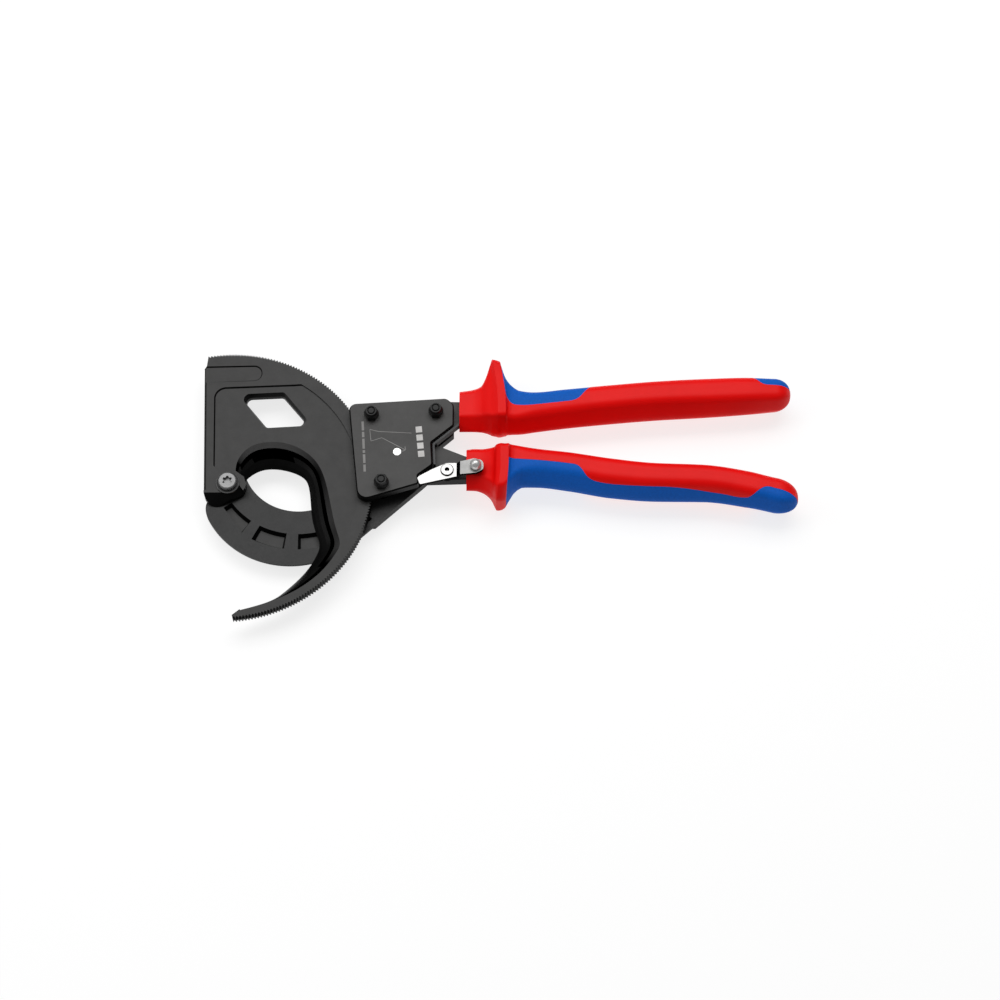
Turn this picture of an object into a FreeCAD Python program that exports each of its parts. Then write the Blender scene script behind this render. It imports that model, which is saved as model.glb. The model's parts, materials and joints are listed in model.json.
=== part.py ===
"""Ratchet cable cutter, 320 mm long, for cables up to 60 mm across. Millimetres.

The tool lies flat: +X runs from the head to the handle ends, +Z is up through the layers of
the head. The outlines below are drawn round the blade pivot (0, 0), and every finished piece
is then shifted so that the origin is the bottom centre of the whole tool.
"""
import FreeCAD, Part
import os
from math import acos, atan2, cos, degrees, hypot, radians, sin, sqrt

V = FreeCAD.Vector

# ---------------------------------------------------------------- driving dimensions
LEFT_END, RIGHT_END = -16.1, 306.6       # blade's left edge and the lower grip's end
MIDDLE_Y = 0.12                          # middle of the tool's width

# layers of the head, from the bolt heads on the back to the nuts on the front
BACK_LOW, BACK_TOP = 5.0, 10.2           # fixed jaw, which is also the back plate
LAYER_TOP = 16.6                         # middle layer: upper arm, spacer, blade, pawls
COVER_TOP = 21.6
PLAY = 0.1                               # play of the blade and the lower arm between the plates
MOVE_LOW, MOVE_TOP = BACK_TOP + PLAY, LAYER_TOP - PLAY
FIT = 0.05                               # radial clearance of running fits

# blade
TIP_R, ROOT_R = 78.4, 77.3               # tooth tips and roots, about the blade pivot
TOOTH_FROM, TOOTH_TO, TEETH = 100.5, -85.5, 152
RIM_UPPER_R, RIM_LOWER_R = 70.6, 73.4    # inner edge of the toothed rim, above and on the hook
RECESS = 0.8                             # depth of the sunk field on the blade's front
WALL_SLOPE = 0.7                         # width of the sloping wall round a sunk field
LAND = 0.4                               # flat at the cutting edge before the bevel starts
HUB_BEVEL_Y = -5.6                       # where the bevel under the hub starts on the front
PIVOT_R, BUSH_R = 4.0, 6.0

# fixed jaw
THROAT = (38.0, 17.0, 31.0)              # centre x, y and radius of the round throat
JAW_RIM = (34.5, 5.5, 50.8)              # centre x, y and radius of the jaw's outer edge
POCKET_RIN, POCKET_ROUT = 44.3, 53.2
POCKET_STARTS, POCKET_SWEEP = (215.5, 242.5, 270.5, 298.5), 20.0
POCKET_DEPTH, POCKET_DRAFT = 3.0, 1.3
# the first pocket narrows towards the hub: it stops at the first side of this outline
POCKET_STOP = ((-3.6, -9.9, 0), (8.3, -26.7, 0), (8.3, -40.0, 0), (-20.0, -40.0, 0), (-20.0, -9.9, 0))

# pins and bolts
BOLTS = ((76.8, 38.3), (111.7, 40.0), (83.0, -2.5))
BOLT_R = 2.0
PIN = (91.0, 16.2)                       # pivot of the moving handle
PIN_R, PIN_END_R = 3.5, 2.15
DRIVE_PIN = (82.2, 19.7)                 # pivot of the drive pawl, on the moving handle
DRIVE_PIN_R = 1.5
DRIVE_TIP = (79.35, 5.3)                 # where the drive pawl's nose stands, clear of the teeth
DRIVE_BOSS_R, DRIVE_NOSE_R = 3.2, 1.0
DRIVE_LOW, DRIVE_TOP = 11.9, 14.1        # the drive pawl runs in a slot of the lower arm
DRIVE_SPRING_TOP = 14.9
SLOT_R, SLOT_END = 4.6, (81.7, 10.0)     # half width and lower end of that slot
HOLD_TIP = (73.15, 29.65)                # where the holding pawl's nose stands
HOLD_BOSS_R, HOLD_NOSE_R = 4.6, 1.1
HOLD_TOP = 15.6                          # the holding pawl, with its spring on top
SPRING_WIRE_R = 0.35
RIVET = (118.1, 4.2)                     # pivot of the lock lever, on the moving handle
RIVET_R = 1.5
LEVER_LOW, LEVER_TOP = 21.8, 23.8
TAB_RISE = 2.7                           # the lever's tab stands this much higher
STUD = (133.4, 5.6)

# grips: x, lower y, upper y, lower z, upper z of each section
UPPER_GRIP = (
    (124.4, 31.6, 54.3, 7.6, 21.6), (131.0, 31.6, 55.3, 7.4, 21.8),
    (136.0, 31.4, 57.5, 6.0, 23.2), (139.5, 30.8, 62.6, 3.6, 25.6),
    (142.3, 29.8, 70.2, 1.5, 27.7), (145.4, 29.1, 70.6, 0.0, 29.2),
    (147.6, 29.4, 66.6, 0.4, 28.8), (149.6, 29.9, 62.0, 0.7, 28.5),
    (151.0, 30.1, 59.7, 3.0, 26.2), (157.0, 30.3, 55.2, 3.8, 25.4),
    (165.0, 31.4, 54.4, 3.8, 25.4), (182.0, 33.8, 56.1, 3.4, 25.8),
    (205.0, 36.4, 58.3, 2.8, 26.4), (232.0, 38.9, 60.7, 2.6, 26.6),
    (260.0, 40.7, 62.4, 3.0, 26.2), (284.0, 42.8, 63.3, 3.8, 25.4),
    (296.0, 44.4, 62.7, 4.8, 24.4), (302.0, 46.7, 60.9, 6.4, 22.8),
    (305.0, 50.5, 58.0, 9.6, 19.6),
)
LOWER_GRIP = (
    (128.4, -3.6, 19.1, 7.6, 21.6), (133.0, -3.8, 19.6, 7.4, 21.8),
    (137.4, -5.1, 19.4, 6.0, 23.2), (141.4, -7.8, 19.4, 3.6, 25.6),
    (144.2, -11.0, 19.9, 1.4, 27.8), (146.8, -11.5, 20.7, 0.0, 29.2),
    (149.0, -10.4, 20.8, 0.4, 28.8), (151.1, -7.9, 21.5, 0.7, 28.5),
    (152.4, -6.2, 21.7, 3.0, 26.2), (159.0, -1.4, 21.2, 3.8, 25.4),
    (167.0, -1.6, 20.0, 3.8, 25.4), (184.0, -3.9, 17.9, 3.4, 25.8),
    (206.0, -7.9, 14.2, 2.8, 26.4), (230.0, -9.9, 11.4, 2.6, 26.6),
    (256.0, -10.2, 10.4, 3.0, 26.2), (280.0, -13.5, 6.7, 3.8, 25.4),
    (294.0, -16.5, 2.9, 4.8, 24.4), (302.0, -15.8, -0.8, 6.4, 22.8),
    (306.6, -10.8, -5.8, 11.6, 17.6),
)
LOW_FLANK, TOP_FLANK = 6.0, 4.0          # how far a grip's sloping flanks reach in from its sides
RIDGE_R = 2.6                            # rounding between a grip's flats and flanks
# plan outlines, with corner radii, of the parts of the grips that the soft blue plastic fills
UPPER_INSERT_ZONE = ((146.6, 90.0, 0), (146.7, 68.0, 4.0), (148.3, 57.0, 6.0), (149.6, 47.4, 2.0),
                     (153.0, 42.8, 2.0), (160.0, 42.3, 5.0), (186.6, 45.2, 3.0), (189.6, 46.9, 1.0),
                     (196.4, 55.2, 1.0), (203.0, 66.0, 0), (203.0, 90.0, 0))
UPPER_END_ZONE = ((282.0, 90.0, 0), (283.6, 61.6, 0), (289.6, 55.4, 3.0), (301.0, 55.2, 5.0),
                  (320.0, 53.0, 0), (320.0, 90.0, 0))
LOWER_INSERT_ZONE = ((148.6, -60.0, 0), (148.9, -20.0, 4.0), (150.4, -4.6, 5.0), (151.1, 6.0, 2.0),
                     (151.2, 10.6, 1.2), (169.6, 9.5, 20.0), (187.6, 6.9, 4.0), (190.2, 4.4, 1.5),
                     (193.6, -1.0, 7.0), (203.0, -3.4, 12.0), (221.0, -5.1, 40.0), (243.0, -5.8, 60.0),
                     (264.0, -8.0, 40.0), (274.4, -10.3, 10.0), (280.4, -10.8, 4.0), (288.4, -5.4, 4.0),
                     (301.4, -8.5, 8.0), (320.0, -19.0, 0), (320.0, -60.0, 0))


# ---------------------------------------------------------------- helpers
def polar(radius, angle_deg, centre=(0.0, 0.0)):
    a = radians(angle_deg)
    return (centre[0] + radius * cos(a), centre[1] + radius * sin(a))


def rounded_edges(points):
    """Straight edges through points (x, y, corner radius), closed, with each corner rounded."""
    count = len(points)
    ends, edges = [], []
    for i in range(count):
        before, here, after = points[i - 1], points[i], points[(i + 1) % count]
        p = V(here[0], here[1], 0)
        a = V(before[0], before[1], 0) - p
        b = V(after[0], after[1], 0) - p
        a.normalize()
        b.normalize()
        half = a.getAngle(b) / 2
        if here[2] <= 0:
            ends.append((p, p))
            continue
        run = here[2] / (sin(half) / cos(half))
        bisector = a + b
        bisector.normalize()
        middle = p + bisector * (here[2] / sin(half) - here[2])
        start, end = p + a * run, p + b * run
        ends.append((start, end))
        edges.append((i, Part.Arc(start, middle, end).toShape()))
    arcs = dict(edges)
    chain = []
    for i in range(count):
        if i in arcs:
            chain.append(arcs[i])
        start, end = ends[i][1], ends[(i + 1) % count][0]
        if (end - start).Length > 1e-6:
            chain.append(Part.makeLine(start, end))
    return chain


def plate(edges, low, top):
    """A prism over a closed chain of edges drawn at z = 0."""
    wire = Part.Wire(Part.__sortEdges__(edges))
    solid = Part.Face(wire).extrude(V(0, 0, top - low))
    solid.translate(V(0, 0, low))
    return solid


def rounded_plate(points, low, top):
    return plate(rounded_edges(points), low, top)


def disc(centre, radius, low, top):
    return Part.makeCylinder(radius, top - low, V(centre[0], centre[1], low))


def bar(a, b, radius_a, radius_b, low, top):
    """A plate over two round ends of the given radii, joined by their common tangents."""
    span = hypot(b[0] - a[0], b[1] - a[1])
    line = degrees(atan2(b[1] - a[1], b[0] - a[0]))
    lean = degrees(acos((radius_a - radius_b) / span))
    corners = [polar(radius_a, line + lean, a), polar(radius_b, line + lean, b),
               polar(radius_b, line - lean, b), polar(radius_a, line - lean, a)]
    body = rounded_plate([(x, y, 0) for x, y in corners], low, top)
    return fuse([body, disc(a, radius_a, low, top), disc(b, radius_b, low, top)])


def fuse(shapes):
    whole = shapes[0].fuse(shapes[1:])
    return whole.removeSplitter()


def hexagon(centre, across_flats, low, top):
    corner_r = across_flats / sqrt(3)
    points = [polar(corner_r, 60 * i, centre) + (0,) for i in range(6)]
    return rounded_plate(points, low, top)


def chamfered_disc(centre, radius, low, top, edge):
    """A disc whose upper rim is chamfered."""
    lower = disc(centre, radius, low, top - edge)
    upper = Part.makeCone(radius, radius - edge, edge, V(centre[0], centre[1], top - edge))
    return fuse([lower, upper])


def chamfer_at(solid, z, size):
    """Chamfers every edge of the solid that lies in the plane at height z."""
    edges = [e for e in solid.Edges
             if all(abs(v.Point.z - z) < 1e-6 for v in e.Vertexes) and e.BoundBox.ZLength < 1e-6]
    return solid.makeChamfer(size, edges)


# ---------------------------------------------------------------- moving blade
# The cutting edge, from the hub over the throat and down to the hook's tip, each with the
# point where its bevel meets the front.
EDGE_AND_BEVEL = (
    ((8.6, 3.6), (3.8, 7.3)), ((12.4, 7.4), (4.8, 14.0)), ((17.5, 10.1), (10.5, 21.6)),
    ((24.0, 10.9), (20.5, 24.9)), ((31.5, 9.7), (32.5, 23.5)), ((37.8, 7.2), (41.6, 18.6)),
    ((41.6, 4.0), (47.9, 11.9)), ((43.2, 0.0), (51.4, 4.6)), ((44.2, -6.0), (53.8, -3.8)),
    ((44.9, -13.0), (55.6, -12.0)), ((46.2, -21.0), (57.4, -20.5)),
    ((48.6, -28.5), (59.6, -28.5)), ((50.1, -34.2), (61.2, -35.6)),
    ((48.6, -40.2), (58.6, -42.4)), ((42.6, -50.4), (50.8, -52.4)),
    ((35.2, -58.4), (41.5, -60.2)), ((26.6, -65.6), (30.5, -66.5)),
    ((17.5, -70.4), (18.8, -70.9)), ((9.6, -73.2), (9.8, -73.5)),
)


def spline(points, z=0.0):
    curve = Part.BSplineCurve()
    curve.interpolate([V(x, y, z) for x, y in points])
    return curve.toShape()


def polyline(points, z=0.0):
    return [Part.makeLine(V(a[0], a[1], z), V(b[0], b[1], z)) for a, b in zip(points, points[1:])]


def sloping_pocket(outline, floor, top, low):
    """A pocket whose walls slope in from the outline at height top to the floor at height low."""
    wires = []
    for points, z in ((outline, top), (floor, low)):
        wire = Part.Wire(Part.__sortEdges__(rounded_edges(points)))
        wire.translate(V(0, 0, z))
        wires.append(wire)
    return Part.makeLoft(wires, True, True)


def slope_along(a, b, inset, top):
    """A block whose underside falls at 45 degrees to the right of the line from a to b."""
    span = hypot(b[0] - a[0], b[1] - a[1])
    block = Part.makeBox(span, 30, 30, V(0, -30, 0))
    block.rotate(V(0, 0, 0), V(1, 0, 0), 45)
    block.translate(V(0, inset, 0))
    block.rotate(V(0, 0, 0), V(0, 0, 1), degrees(atan2(b[1] - a[1], b[0] - a[0])))
    block.translate(V(a[0], a[1], top))
    return block


def tooth_points():
    """Ratchet teeth: each has a steep flank that the pawls push and a long sloping back."""
    pitch = (TOOTH_FROM - TOOTH_TO) / TEETH
    points = []
    for i in range(TEETH):
        crest = TOOTH_FROM - i * pitch
        points.append(polar(TIP_R, crest))
        points.append(polar(ROOT_R, crest - 0.66 * pitch))
    points.append(polar(TIP_R, TOOTH_TO))
    return points


def bevel_wire(share, z):
    """The closed outline of the bevel's cutter, share of the way from the edge to the front."""
    curve = [(a[0] + share * (b[0] - a[0]), a[1] + share * (b[1] - a[1]))
             for a, b in EDGE_AND_BEVEL]
    closing = [curve[-1], (4.0, -60.0), (14.0, -14.0), curve[0]]
    return Part.Wire([spline(curve, z)] + polyline(closing, z))


def moving_blade():
    edge = [pair[0] for pair in EDGE_AND_BEVEL]
    teeth = tooth_points()
    chain = polyline(teeth)
    chain += polyline([teeth[-1], (5.7, -76.4), edge[-1]])
    chain.append(spline(edge))
    chain.append(Part.Arc(V(edge[0][0], edge[0][1], 0), V(9.5, -1.8, 0), V(6.4, -6.2, 0)).toShape())
    chain.append(Part.makeLine(V(6.4, -6.2, 0), V(-3.0, -10.6, 0)))
    chain.append(Part.Arc(V(-3.0, -10.6, 0), V(-9.8, -10.2, 0), V(-12.8, -4.2, 0)).toShape())
    chain += polyline([(-12.8, -4.2), (LEFT_END, 69.6), (-14.9, 70.9), teeth[0]])
    blade = plate(chain, MOVE_LOW, MOVE_TOP)

    field = MOVE_TOP - RECESS
    sill = MOVE_LOW + LAND
    steps = [(share, sill + (field - sill) * (1 - (1 - share) ** 2))
             for share in (-0.05, 0.15, 0.35, 0.55, 0.75, 1.0)]
    blade = blade.cut(Part.makeLoft([bevel_wire(*step) for step in steps], True, True))

    # sunk field: left side, top, round the rim, down the hook and back through the throat
    top_corner = polar(RIM_UPPER_R, 58.0)
    low_corner = polar(RIM_UPPER_R + 0.7, -27.5)
    outer = [Part.makeLine(V(-8.3, 10.5, 0), V(-9.9, 50.6, 0)),
             Part.Arc(V(-9.9, 50.6, 0), V(-8.3, 55.8, 0), V(-3.5, 58.0, 0)).toShape(),
             Part.makeLine(V(-3.5, 58.0, 0), V(33.5, 59.6, 0)),
             Part.makeLine(V(33.5, 59.6, 0), V(top_corner[0], top_corner[1], 0)),
             Part.Arc(V(top_corner[0], top_corner[1], 0), V(*polar(RIM_UPPER_R, 15.0), 0),
                      V(low_corner[0], low_corner[1], 0)).toShape(),
             spline([low_corner, polar(72.3, -36.0), polar(RIM_LOWER_R - 0.1, -46.0),
                     polar(RIM_LOWER_R, -60.0), polar(RIM_LOWER_R, -73.0), polar(74.3, -82.3)])]
    back = polyline([polar(74.3, -82.3), (4.0, -60.0), (14.0, -14.0), (8.6, 3.6), (3.8, 7.3),
                     (2.4, 6.6), (-4.8, 6.6), (-8.3, 10.5)])
    sunk = plate(outer + back, field, MOVE_TOP + 1)
    walls = [e for e in sunk.Edges if e.BoundBox.ZLength < 1e-6 and abs(e.BoundBox.ZMin - field) < 1e-6
             and e.BoundBox.YMax > 20 and 6 < e.Length < 50]
    blade = blade.cut(sunk.makeChamfer(WALL_SLOPE, walls))

    # window with sloping walls in its upper part, and the sunk label field at the top
    window = [(2.6, 54.3, 3.6), (28.4, 55.6, 3.0), (44.9, 34.6, 3.6), (18.4, 33.0, 3.6)]
    throat = [(4.8, 52.9, 3.0), (27.6, 54.1, 2.4), (42.3, 36.1, 3.0), (19.4, 34.6, 3.0)]
    blade = blade.cut(sloping_pocket(window, throat, MOVE_TOP, MOVE_LOW + 2.6))
    blade = blade.cut(rounded_plate(throat, MOVE_LOW - 1, MOVE_TOP))
    label = [(-20.0, 60.6, 0), (16.2, 62.0, 4.6), (15.6, 71.5, 4.6), (-20.0, 70.7, 0)]
    floor = [(-20.0, 60.9, 0), (15.6, 62.6, 4.1), (15.1, 70.9, 4.1), (-20.0, 70.0, 0)]
    blade = blade.cut(sloping_pocket(label, floor, MOVE_TOP, MOVE_TOP - 0.6))

    # bevels down the left edge, under the hub and round to the throat, and the bush's hole
    blade = blade.cut(slope_along((-16.1, 69.6), (-12.8, -4.2), 1.2, MOVE_TOP))
    blade = blade.cut(slope_along((-20.0, HUB_BEVEL_Y), (12.0, HUB_BEVEL_Y), 0.0, MOVE_TOP))
    blade = blade.cut(slope_along((-6.0, -9.9), (6.4, -1.4), 0.0, MOVE_TOP))
    return blade.cut(disc((0, 0), BUSH_R, 0, 30))


def blade_bush():
    return disc((0, 0), BUSH_R, MOVE_LOW, MOVE_TOP).cut(disc((0, 0), PIVOT_R + FIT, 0, 30))


# ---------------------------------------------------------------- fixed jaw (back plate)
def pocket(start):
    """One drafted pocket between two arcs about the throat's centre."""
    wires = []
    for z, shrink in ((BACK_TOP - POCKET_DEPTH, POCKET_DRAFT), (BACK_TOP + 0.2, -0.1)):
        inner, outer = POCKET_RIN + shrink, POCKET_ROUT - shrink
        a0, a1 = start + 1.2 * shrink, start + POCKET_SWEEP - 1.2 * shrink
        middle = (a0 + a1) / 2
        corners = [V(*polar(r, a, THROAT[:2]), z)
                   for r, a in ((inner, a0), (outer, a0), (outer, a1), (inner, a1))]
        far, near = (V(*polar(r, middle, THROAT[:2]), z) for r in (outer, inner))
        wires.append(Part.Wire([Part.makeLine(corners[0], corners[1]),
                                Part.Arc(corners[1], far, corners[2]).toShape(),
                                Part.makeLine(corners[2], corners[3]),
                                Part.Arc(corners[3], near, corners[0]).toShape()]))
    return Part.makeLoft(wires, True, True)


def fixed_jaw():
    hub = disc((0, 0), 12.2, BACK_LOW, BACK_TOP)
    rim_start, rim_end = polar(JAW_RIM[2], 211.0, JAW_RIM), polar(JAW_RIM[2], -45.0, JAW_RIM)
    mouth = polar(THROAT[2], 188.0, THROAT)
    lip = polar(THROAT[2], 28.0, THROAT)
    rim_middle = polar(JAW_RIM[2], -115.0, JAW_RIM)
    chain = [Part.Arc(V(*rim_start, 0), V(*rim_middle, 0), V(*rim_end, 0)).toShape()]
    chain += polyline([rim_end, (104.0, 0.9), (109.8, 6.6), (109.4, 21.2), (121.3, 32.0),
                       (121.3, 45.2), (118.0, 48.4), (69.0, 45.6), (64.9, 41.6), lip])
    chain.append(Part.Arc(V(*lip, 0), V(*polar(THROAT[2], -90.0, THROAT), 0), V(*mouth, 0)).toShape())
    chain += polyline([mouth, (-10.0, 3.0), (-11.4, -8.4)])
    chain.append(spline([(-11.4, -8.4), (-12.0, -12.0), (-11.3, -16.0), rim_start]))
    jaw = fuse([plate(chain, BACK_LOW, BACK_TOP), hub])
    jaw = jaw.cut(disc(THROAT, THROAT[2], 0, 30))

    # the throat is ground back behind its cutting edge, and the outer rim is thinned
    relief = 2.6
    jaw = jaw.cut(Part.makeCone(THROAT[2] + relief, THROAT[2], 3.6, V(THROAT[0], THROAT[1], BACK_LOW)))
    ring = disc(JAW_RIM, JAW_RIM[2] + 20, BACK_LOW - 1, BACK_LOW + 3.2)
    ring = ring.cut(Part.makeCone(JAW_RIM[2] - 3.2, JAW_RIM[2], 3.2, V(JAW_RIM[0], JAW_RIM[1], BACK_LOW)))
    ring = ring.common(Part.makeBox(120, 52, 10, V(-40, -60, BACK_LOW)))
    ring = ring.cut(rounded_plate([(60, -22, 0), (140, -22, 0), (140, 60, 0), (60, 60, 0)], 0, 20))
    ring = ring.cut(disc((0, 0), 14.5, 0, 30))
    jaw = jaw.cut(ring)
    stop = rounded_plate(POCKET_STOP, 0, 20)
    jaw = jaw.cut(pocket(POCKET_STARTS[0]).cut(stop))
    for start in POCKET_STARTS[1:]:
        jaw = jaw.cut(pocket(start))
    for centre in BOLTS:
        jaw = jaw.cut(disc(centre, BOLT_R, 0, 30))
    jaw = jaw.cut(disc(PIN, PIN_END_R, 0, 30))
    return jaw.cut(disc((0, 0), PIVOT_R, 0, 30))


# ---------------------------------------------------------------- cover, arms and spacer
def cover_plate():
    points = [(64.1, 45.2, 4.0), (117.2, 48.7, 3.5), (121.4, 45.0, 3.5),
              (121.4, 32.2, 2.0), (109.4, 21.9, 1.0), (110.2, 8.6, 2.5), (102.3, 2.4, 1.5),
              (102.9, -2.6, 1.5), (70.4, -13.0, 5.5), (66.9, 19.0, 20.0)]
    cover = rounded_plate(points, LAYER_TOP, COVER_TOP)
    cover = chamfer_at(cover, COVER_TOP, 0.7)
    for centre in BOLTS:
        cover = cover.cut(disc(centre, BOLT_R, 0, 30))
    return cover.cut(disc(PIN, PIN_END_R, 0, 30))


def upper_handle_arm():
    points = [(84.6, 47.2, 3.0), (120.0, 48.8, 3.0), (150.0, 48.2, 20.0), (286.0, 58.5, 4.0),
              (286.0, 50.0, 4.0), (150.0, 37.4, 20.0), (124.6, 36.0, 2.0), (110.6, 24.3, 0.6),
              (104.0, 30.6, 3.0), (84.6, 31.4, 3.0)]
    arm = rounded_plate(points, BACK_TOP, LAYER_TOP)
    return arm.cut(disc(BOLTS[1], BOLT_R, 0, 30))


def lower_handle_arm():
    points = [(94.0, 22.0, 1.0), (110.4, 23.2, 0.6), (128.6, 15.5, 8.0), (180.0, 10.6, 60.0),
              (284.0, -1.0, 3.4), (284.0, -8.6, 3.4), (150.0, 3.6, 20.0),
              (129.0, 2.1, 10.0), (106.0, 1.4, 5.0), (93.0, 10.6, 1.0)]
    low, top = MOVE_LOW, MOVE_TOP
    arm = fuse([rounded_plate(points, low, top), bar(PIN, DRIVE_PIN, 6.6, 4.4, low, top)])
    arm = arm.cut(disc(PIN, PIN_R + FIT, 0, 30))
    arm = arm.cut(bar(DRIVE_PIN, SLOT_END, SLOT_R, SLOT_R, DRIVE_LOW - 0.05, DRIVE_SPRING_TOP + 0.05))
    arm = arm.cut(disc(DRIVE_PIN, DRIVE_PIN_R, 0, 30))
    return arm.cut(disc(RIVET, RIVET_R, 0, 30))


def head_spacer():
    return disc(BOLTS[2], 4.1, BACK_TOP, LAYER_TOP).cut(disc(BOLTS[2], BOLT_R, 0, 30))


# ---------------------------------------------------------------- pawls and their springs
def pawl(pivot, tip, boss_r, nose_r, low, top):
    """A finger from a round boss to a nose whose end is cut square to the pushed tooth."""
    reach = hypot(tip[0] - pivot[0], tip[1] - pivot[1])
    heading = degrees(atan2(tip[1] - pivot[1], tip[0] - pivot[0]))
    nose = polar(reach - nose_r, heading, pivot)
    return bar(pivot, nose, boss_r, nose_r, low, top)


def drive_pawl():
    body = pawl(DRIVE_PIN, DRIVE_TIP, DRIVE_BOSS_R, DRIVE_NOSE_R, DRIVE_LOW, DRIVE_TOP)
    return body.cut(disc(DRIVE_PIN, DRIVE_PIN_R + FIT, 0, 30))


def holding_pawl():
    body = pawl(BOLTS[0], HOLD_TIP, HOLD_BOSS_R, HOLD_NOSE_R, MOVE_LOW, HOLD_TOP)
    return body.cut(disc(BOLTS[0], BOLT_R + FIT, 0, 30))


def torsion_spring(centre, coil_r, z, first_leg, second_leg, leg_length):
    """One open turn of wire round a pin, with a straight leg at each end."""
    start = V(*polar(coil_r, first_leg + 90, centre), z)
    end = V(*polar(coil_r, second_leg - 90, centre), z)
    far = V(*polar(coil_r, (first_leg + second_leg) / 2 + 180, centre), z)
    first = Part.makeLine(start + V(*polar(leg_length, first_leg), 0), start)
    second = Part.makeLine(end, end + V(*polar(leg_length, second_leg), 0))
    spine = Part.Wire([first, Part.Arc(start, far, end).toShape(), second])
    tangent = start - first.Vertexes[0].Point
    profile = Part.Wire([Part.makeCircle(SPRING_WIRE_R, first.Vertexes[0].Point, tangent)])
    return spine.makePipeShell([profile], True, True)


def drive_pawl_spring():
    z = (DRIVE_TOP + DRIVE_SPRING_TOP) / 2
    return torsion_spring(DRIVE_PIN, 2.1, z, -80.0, -30.0, 2.2)


def holding_pawl_spring():
    z = HOLD_TOP + SPRING_WIRE_R + 0.1
    return torsion_spring(BOLTS[0], 2.9, z, -114.0, 20.0, 5.0)


def opening_spring():
    """Leaf spring bent to a V beside the cover plate, in front of the two arms."""
    outer = [(124.2, 34.0, 0), (110.05, 21.6, 0.6), (110.75, 9.2, 0), (111.85, 9.2, 0),
             (111.15, 21.1, 1.2), (124.2, 32.5, 0)]
    return rounded_plate(outer, LAYER_TOP, COVER_TOP - 1.0)


# ---------------------------------------------------------------- pins, bolts, washers, nuts
def blade_pivot_bolt():
    head = chamfered_disc((0, 0), 4.8, 17.5, 20.0, 0.5)
    star = [disc(polar(1.95, 60 * i + 30), 0.75, 18.0, 21) for i in range(6)]
    star.append(disc((0, 0), 1.95, 18.0, 21))
    shank = disc((0, 0), PIVOT_R, BACK_LOW, 17.5)
    thread = chamfered_disc((0, 0), 3.0, 0.8, BACK_LOW, 0.01)
    return fuse([head.cut(fuse(star)), shank, thread])


def blade_pivot_washer():
    ring = chamfered_disc((0, 0), 6.3, LAYER_TOP, 17.5, 0.3)
    return ring.cut(disc((0, 0), PIVOT_R, 0, 30))


def blade_pivot_nut():
    return hexagon((0, 0), 10.0, 1.4, BACK_LOW).cut(disc((0, 0), 3.0, 0, 30))


def head_bolt(centre):
    flip = chamfered_disc((0, 0), 3.6, 0, 4.0, 0.6)
    flip.rotate(V(0, 0, 2.0), V(1, 0, 0), 180)
    flip.translate(V(centre[0], centre[1], 0))
    socket = hexagon(centre, 2.5, -1, 1.8)
    shank = disc(centre, BOLT_R, 4.0, 27.0)
    end = Part.makeCone(BOLT_R, BOLT_R - 0.5, 0.5, V(centre[0], centre[1], 27.0))
    return fuse([flip.cut(socket), shank, end])


def head_washer(centre):
    return disc(centre, 4.5, 4.0, BACK_LOW).cut(disc(centre, BOLT_R, 0, 30))


def head_nut(centre):
    """Lock nut: a chamfered hexagon with a round collar for the locking ring."""
    body = hexagon(centre, 7.0, COVER_TOP, 26.0)
    body = body.common(Part.makeCone(7.8, 3.4, 4.4, V(centre[0], centre[1], COVER_TOP)))
    collar = Part.makeCone(3.4, 2.9, 1.4, V(centre[0], centre[1], 26.0))
    bore = fuse([disc(centre, BOLT_R, 0, 30), disc(centre, 2.35, 26.8, 30)])
    return fuse([body, collar]).cut(bore)


def handle_pivot_pin():
    ends = disc(PIN, PIN_END_R, BACK_LOW, COVER_TOP + 0.1)
    return fuse([ends, disc(PIN, PIN_R, BACK_TOP, LAYER_TOP)])


def drive_pawl_pin():
    return disc(DRIVE_PIN, DRIVE_PIN_R, MOVE_LOW, MOVE_TOP)


# ---------------------------------------------------------------- lock lever
def lock_lever():
    flat = [(102.2, -0.2, 0.8), (103.6, -4.1, 0.8), (124.6, 0.9, 0.6), (124.6, 8.4, 0.6),
            (117.8, 8.4, 3.0), (110.0, 4.7, 12.0), (103.6, 1.0, 3.0)]
    blade = rounded_plate(flat, LEVER_LOW, LEVER_TOP)
    step_low, step_top = LEVER_LOW + TAB_RISE, LEVER_TOP + TAB_RISE
    side = [V(123.2, 0, LEVER_LOW), V(123.2, 0, LEVER_TOP), V(125.2, 0, step_top),
            V(138.6, 0, step_top), V(138.6, 0, step_low), V(126.2, 0, step_low),
            V(124.2, 0, LEVER_LOW), V(123.2, 0, LEVER_LOW)]
    tab = Part.Face(Part.makePolygon(side)).extrude(V(0, 30, 0))
    tab.translate(V(0, -12, 0))
    tab_plan = [(120.0, 0.7, 0), (125.8, 0.7, 1.0), (133.9, 1.5, 3.0), (137.8, 3.6, 2.6),
                (137.4, 8.6, 2.6), (133.0, 10.1, 3.0), (125.8, 8.3, 1.0), (120.0, 8.3, 0)]
    tab = tab.common(rounded_plate(tab_plan, LEVER_LOW - 1, step_top + 1))
    lever = fuse([blade.cut(Part.makeBox(20, 40, 10, V(123.2, -20, LEVER_LOW - 1))), tab])
    lever = lever.cut(disc(STUD, 1.6, 0, 40))
    return lever.cut(disc(RIVET, RIVET_R + FIT, 0, 40))


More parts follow.
